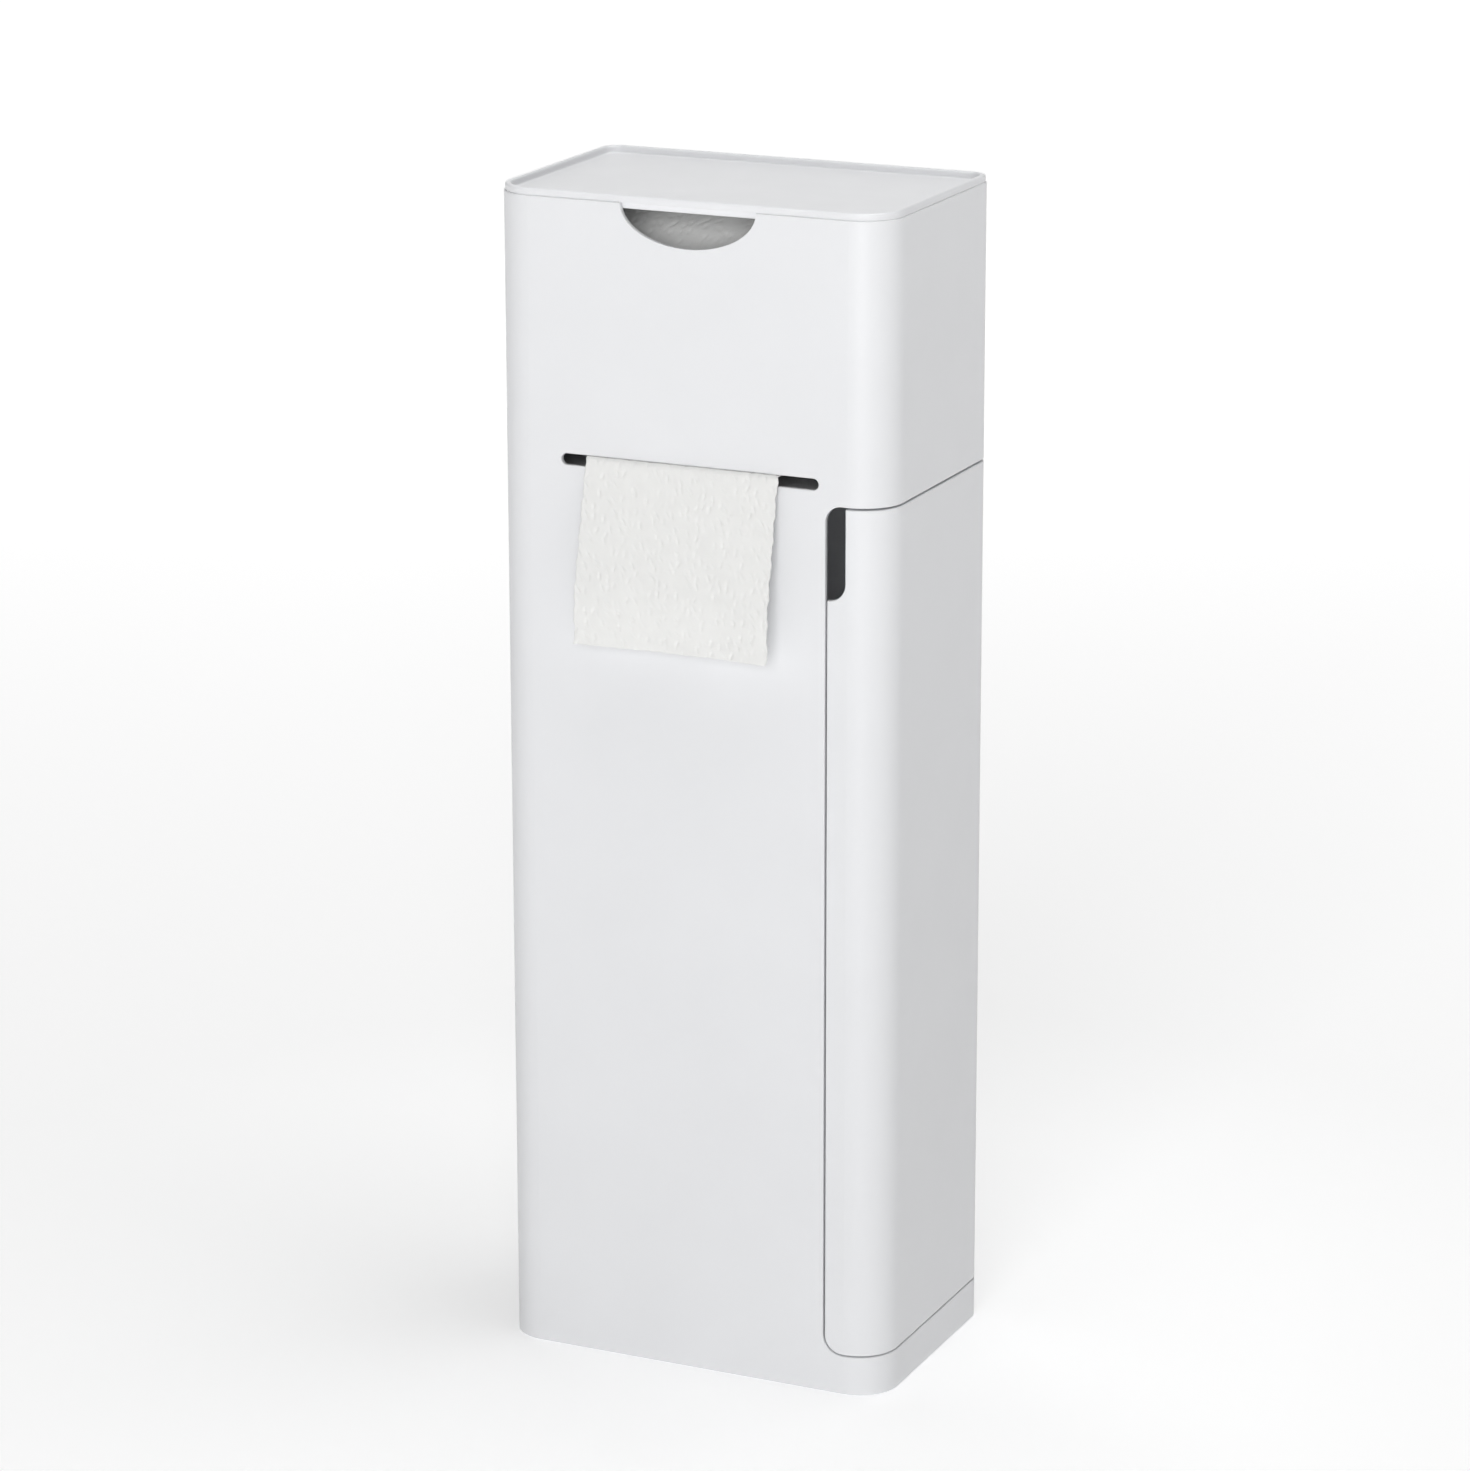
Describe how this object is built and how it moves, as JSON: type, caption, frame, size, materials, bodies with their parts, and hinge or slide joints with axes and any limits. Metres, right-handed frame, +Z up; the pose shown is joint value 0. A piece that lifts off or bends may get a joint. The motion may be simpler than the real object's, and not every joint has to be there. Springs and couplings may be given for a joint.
{
  "type": "freestanding toilet butler",
  "caption": "Tall slim white bathroom column with a tray lid, a paper roll bay with a front slot, and a wrap-round door that swings out with the toilet brush and uncovers spare roll storage.",
  "frame": {"origin": "centre of the footprint, on the floor under the anti-slip mat", "axes": "+Z up, +X to the right seen from the front, +Y to the rear; the slot and the door's free edge face -Y"},
  "size_m": [0.205, 0.1427, 0.585],
  "materials": {
    "white_shell": "satin white moulded plastic",
    "white_inner": "satin white moulded plastic, inside",
    "white_brush": "glossy white plastic",
    "bristle": "white nylon bristles",
    "bush_plastic": "grey bearing plastic",
    "steel": "plain steel",
    "screw_steel": "zinc plated steel",
    "magnet": "dark ferrite",
    "mat_rubber": "matte black rubber",
    "paper": "embossed tissue",
    "core_card": "grey-brown card"
  },
  "bodies": {
    "root": {"front_shell": "white_shell", "back_panel": "white_shell", "base_plate": "white_inner", "base_mat": "mat_rubber", "mid_shelf": "white_inner", "hinge_pin_lower": "steel", "hinge_pin_upper": "steel", "strike_plate": "steel", "spindle_cradle_left": "white_inner", "spindle_cradle_right": "white_inner", "paper_tail": "paper", "base_screws": "screw_steel", "shelf_screws": "screw_steel", "back_screws": "screw_steel", "cradle_screws": "screw_steel", "strike_screws": "screw_steel"},
    "lid": {"lid": "white_shell"},
    "door": {"door_shell": "white_shell", "hinge_bush_lower": "bush_plastic", "hinge_bush_upper": "bush_plastic", "catch_magnet": "magnet", "cup_bracket": "white_inner", "bracket_screws": "screw_steel"},
    "cup": {"brush_cup": "white_brush"},
    "brush": {"brush_head": "white_brush", "brush_bristles": "bristle", "brush_rod": "steel", "brush_grip": "white_brush", "splash_collar": "white_brush"},
    "roll": {"paper_roll": "paper", "roll_core": "core_card", "roll_spindle": "white_inner"}
  },
  "joints": [
    {"name": "lid_lift", "type": "slide", "parent": "root", "child": "lid", "axis": [0, 0, 1], "range_m": [0, 0.12]},
    {"name": "door_hinge", "type": "hinge", "parent": "root", "child": "door", "pos_m": [0.0925, 0.054, 0.2335], "axis": [0, 0, 1], "range_deg": [0, 105]},
    {"name": "cup_lift", "type": "slide", "parent": "door", "child": "cup", "axis": [0, 0, 1], "range_m": [0, 0.012]},
    {"name": "brush_lift", "type": "slide", "parent": "cup", "child": "brush", "axis": [0, 0, 1], "range_m": [0, 0.085]},
    {"name": "roll_spin", "type": "hinge", "parent": "root", "child": "roll", "pos_m": [-0.002, 0, 0.5164], "axis": [1, 0, 0], "continuous": true}
  ]
}
